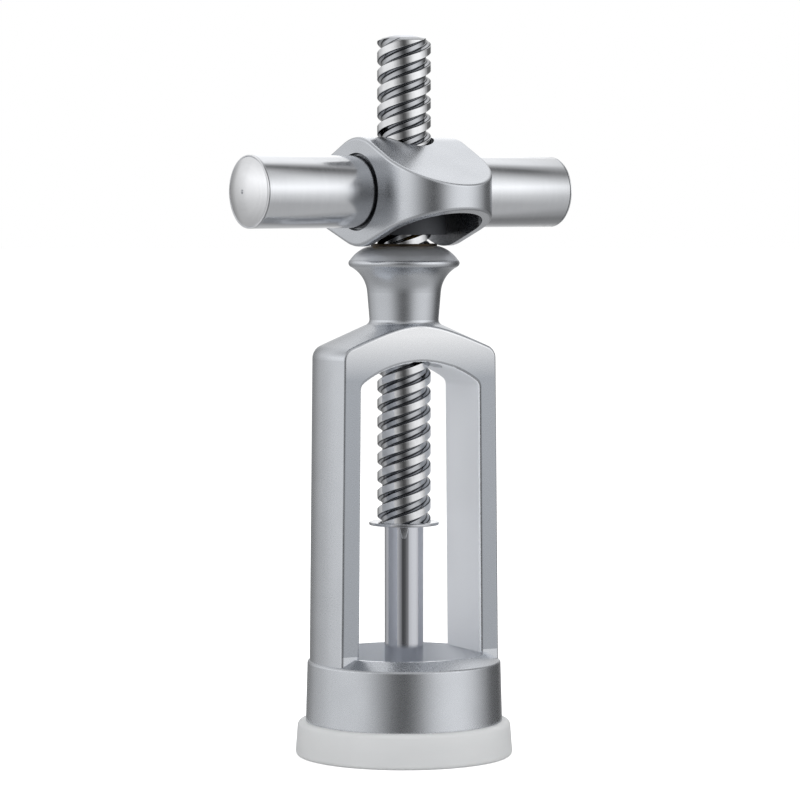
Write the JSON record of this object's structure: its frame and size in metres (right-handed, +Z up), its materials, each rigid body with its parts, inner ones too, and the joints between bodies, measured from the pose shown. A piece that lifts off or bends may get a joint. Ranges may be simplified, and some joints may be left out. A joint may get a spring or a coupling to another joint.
{
  "type": "bell corkscrew",
  "caption": "Bell corkscrew: a three-start screw spindle runs through a T handle and an open cast bell on a plastic foot ring.",
  "frame": {"origin": "on the ground under the spindle, in the middle of the foot ring", "axes": "+Z up along the spindle, X across the two pillars, the windows open along Y"},
  "size_m": [0.0912, 0.0524, 0.1733],
  "materials": {
    "cast_satin": "satin plated casting",
    "bar_satin": "satin",
    "screw_steel": "bright",
    "insert_brass": "machined",
    "foot_plastic": "frosted"
  },
  "bodies": {
    "bell": {"bell_frame": "cast_satin", "foot_ring": "foot_plastic"},
    "guide": {"neck_bush": "insert_brass"},
    "spindle": {"spindle": "screw_steel", "stop_washer": "screw_steel", "worm": "screw_steel"},
    "handle": {"handle_hub": "cast_satin", "nut_insert": "insert_brass", "left_grip": "bar_satin", "right_grip": "bar_satin", "left_tie_rod": "screw_steel", "right_tie_rod": "screw_steel", "left_end_cap": "bar_satin", "right_end_cap": "bar_satin"}
  },
  "joints": [
    {"name": "spindle_turn", "type": "hinge", "parent": "bell", "child": "guide", "pos_m": [0, 0, 0.1226], "axis": [0, 0, 1], "continuous": true},
    {"name": "handle_turn", "type": "hinge", "parent": "guide", "child": "handle", "pos_m": [0, 0, 0.1356], "axis": [0, 0, 1], "range_deg": [-1061, 673.5]},
    {"name": "spindle_rise", "type": "slide", "parent": "guide", "child": "spindle", "axis": [0, 0, 1], "range_m": [-0.0245, 0.0386]}
  ],
  "couplings": [
    {"joint": "handle_turn", "follows": "spindle_rise", "rad_per_m": -479.63}
  ]
}
